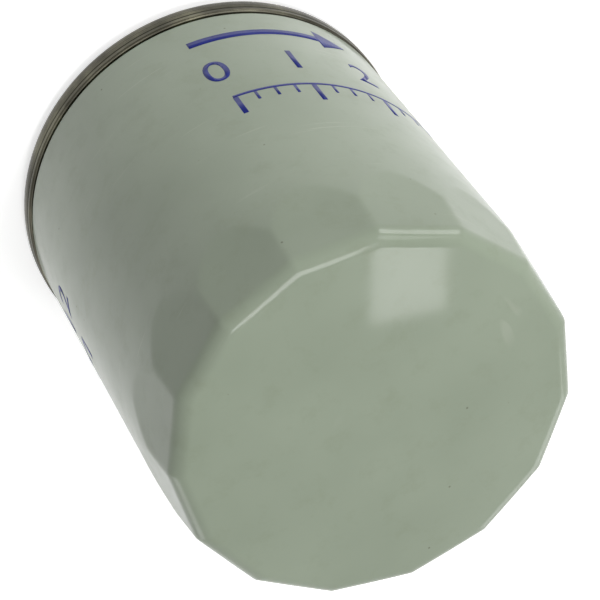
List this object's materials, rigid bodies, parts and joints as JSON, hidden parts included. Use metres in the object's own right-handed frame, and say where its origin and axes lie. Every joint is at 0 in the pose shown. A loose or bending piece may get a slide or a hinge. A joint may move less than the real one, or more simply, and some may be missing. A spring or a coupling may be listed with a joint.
{
  "type": "spin-on oil filter",
  "caption": "Spin-on oil filter: painted can with wrench flats round its closed end, threaded base plate, gasket, pleated element, anti-drain valve and bypass valve.",
  "frame": {"origin": "centre of the gasket's sealing face, on the thread's axis", "axes": "+Z along the thread's axis from the gasket towards the closed end; +X through the middle of one wrench flat"},
  "size_m": [0.094, 0.094, 0.1125],
  "materials": {
    "paint": "satin pale grey-green enamel",
    "lid_steel": "bare tin-plated steel, rolled",
    "sealant": "matt sealing compound",
    "gasket_rubber": "matt black nitrile rubber",
    "plate_steel": "bare pressed steel with a film of oil",
    "valve_rubber": "matt red-brown silicone rubber",
    "cap_steel": "bare tin-plated steel",
    "bond": "cured plastisol adhesive",
    "media": "resin-stiffened filter paper",
    "tube_steel": "bare perforated steel strip",
    "valve_steel": "zinc-plated steel",
    "washer_rubber": "matt black rubber",
    "spring_wire": "drawn spring wire, oil-darkened"
  },
  "bodies": {
    "housing": {"can": "paint", "seaming_lid": "lid_steel", "seam_sealant": "sealant", "mounting_gasket": "gasket_rubber", "base_plate": "plate_steel", "spring_seat": "cap_steel", "element_spring": "spring_wire"},
    "drain_flap": {"anti_drain_valve": "valve_rubber"},
    "element": {"outlet_end_cap": "cap_steel", "outlet_bond": "bond", "filter_media": "media", "media_clip": "cap_steel", "centre_tube": "tube_steel", "closed_bond": "bond", "closed_end_cap": "cap_steel", "bypass_seat": "valve_steel", "bypass_cage": "valve_steel", "bypass_spring": "spring_wire"},
    "bypass_valve": {"bypass_disc": "valve_steel", "bypass_washer": "washer_rubber"}
  },
  "joints": [
    {"name": "drain_flap_lift", "type": "slide", "parent": "housing", "child": "drain_flap", "axis": [0, 0, 1], "range_m": [0, 0.0012], "stiffness_N_per_m": 400, "springref_m": -0.001, "deforming": ["anti_drain_valve"]},
    {"name": "element_float", "type": "slide", "parent": "housing", "child": "element", "axis": [0, 0, 1], "range_m": [0, 0.002], "stiffness_N_per_m": 12000, "springref_m": -0.008, "deforming": ["element_spring"]},
    {"name": "bypass_lift", "type": "slide", "parent": "element", "child": "bypass_valve", "axis": [0, 0, -1], "range_m": [0, 0.003], "stiffness_N_per_m": 5000, "springref_m": -0.006, "deforming": ["bypass_spring"]}
  ]
}
